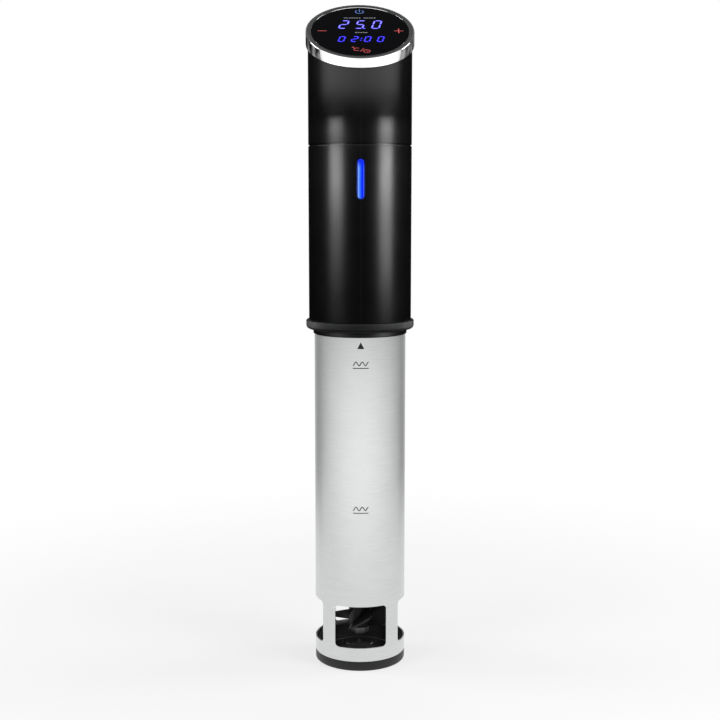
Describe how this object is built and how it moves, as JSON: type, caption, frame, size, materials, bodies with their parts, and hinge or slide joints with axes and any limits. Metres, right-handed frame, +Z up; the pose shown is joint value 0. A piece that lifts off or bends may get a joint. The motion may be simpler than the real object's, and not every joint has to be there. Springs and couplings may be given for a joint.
{
  "type": "sous vide circulator",
  "caption": "Stick-shaped immersion circulator with a sloped control panel, a brushed steel sleeve that twists off, a stirring pump, an inner heater and a rear screw clamp for the pot's wall.",
  "frame": {"origin": "centre of the flat foot's underside, on the sleeve's axis", "axes": "+Z up along the sleeve's axis; the control panel and status light face -Y; the clamp is on the +Y side"},
  "size_m": [0.0654, 0.1199, 0.4044],
  "materials": {
    "housing_plastic": "satin moulded black plastic with a fine spark-eroded texture",
    "bezel_metal": "bright chrome wall, satin dark upper face",
    "panel_glass": "polished black touch window",
    "display_glass": "dark filled display block",
    "light_lens": "milky blue light pipe",
    "light_board": "white solder mask",
    "circuit_board": "green solder mask on glass laminate",
    "inner_plastic": "moulded glass-filled nylon",
    "component_case": "wound yellow tape and moulded cases",
    "capacitor_sleeve": "shrunk plastic sleeve",
    "heat_sink_aluminium": "extruded aluminium",
    "spring_steel": "bright spring steel",
    "screw_steel": "zinc-plated steel",
    "ribbon": "flat ribbon cable",
    "bracket_steel": "zinc-plated pressed sheet",
    "motor_copper": "enamelled copper winding on a laminated stack",
    "rotor_steel": "laminated steel",
    "bearing_steel": "ground steel",
    "neck_plastic": "glass-filled black plastic",
    "collar_rubber": "matt dark grey rubber",
    "plate_steel": "plain stainless steel",
    "gasket_silicone": "red silicone",
    "seal_rubber": "black nitrile",
    "bush_plastic": "white low-friction plastic",
    "heater_steel": "stainless heater tube, slightly heat-tinted",
    "terminal_brass": "turned brass",
    "lead_insulation": "red silicone-insulated wire",
    "insulator_ceramic": "glazed white insulator",
    "sleeve_steel": "stainless tube brushed around its axis",
    "pad_rubber": "soft dark grey rubber"
  },
  "bodies": {
    "housing": {"upper_housing": "housing_plastic", "lower_housing": "housing_plastic", "housing_seal": "seal_rubber", "bezel": "bezel_metal", "panel_window": "panel_glass", "display_bracket": "inner_plastic", "display_board": "circuit_board", "temperature_display": "display_glass", "timer_display": "display_glass", "touch_springs": "spring_steel", "status_lens": "light_lens", "status_light_board": "light_board", "board_carrier": "inner_plastic", "carrier_screws": "screw_steel", "power_board": "circuit_board", "power_components": "component_case", "capacitors": "capacitor_sleeve", "heat_sink": "heat_sink_aluminium", "buzzer": "inner_plastic", "display_cable": "ribbon", "cord_gland": "housing_plastic", "gland_nut": "housing_plastic", "motor_bracket": "bracket_steel", "bracket_screws": "screw_steel", "motor_can": "bracket_steel", "motor_stator": "motor_copper", "upper_bearing": "bearing_steel", "lower_bearing": "bearing_steel", "motor_screws": "screw_steel", "neck": "neck_plastic", "collar_ring": "collar_rubber", "base_plate": "plate_steel", "plate_gasket": "gasket_silicone", "plate_circlip": "spring_steel", "guide_tube": "plate_steel", "shaft_seal": "seal_rubber", "shaft_bush": "bush_plastic", "heater": "heater_steel", "heater_terminals": "terminal_brass", "heater_leads": "lead_insulation", "temperature_probe": "plate_steel", "level_probes": "plate_steel", "probe_insulators": "insulator_ceramic", "clamp_frame": "housing_plastic", "clamp_frame_screws": "screw_steel", "clamp_insert": "terminal_brass", "fixed_pad": "pad_rubber"},
    "rotor": {"drive_shaft": "bearing_steel", "motor_rotor": "rotor_steel", "cooling_fan": "inner_plastic", "impeller": "inner_plastic", "impeller_nut": "screw_steel"},
    "sleeve_body": {"sleeve": "sleeve_steel", "bottom_cap": "neck_plastic"},
    "jaw": {"jaw_plate": "housing_plastic", "jaw_pad": "pad_rubber"},
    "screw_body": {"clamp_screw": "screw_steel", "clamp_knob": "housing_plastic"}
  },
  "joints": [
    {"name": "pump_spin", "type": "hinge", "parent": "housing", "child": "rotor", "pos_m": [0, 0, 0.25], "axis": [0, 0, 1], "continuous": true},
    {"name": "sleeve_twist", "type": "hinge", "parent": "housing", "child": "sleeve_body", "pos_m": [0, 0, 0.198], "axis": [0, 0, 1], "range_deg": [0, 24]},
    {"name": "jaw_slide", "type": "slide", "parent": "housing", "child": "jaw", "axis": [0, 1, 0], "range_m": [-0.0066, 0.009]},
    {"name": "clamp_screw_turn", "type": "hinge", "parent": "jaw", "child": "screw_body", "pos_m": [0, 0.07, 0.2329], "axis": [0, 1, 0], "range_deg": [-1188.1, 1620.1]}
  ],
  "couplings": [
    {"joint": "clamp_screw_turn", "follows": "jaw_slide", "rad_per_m": 3141.6}
  ]
}
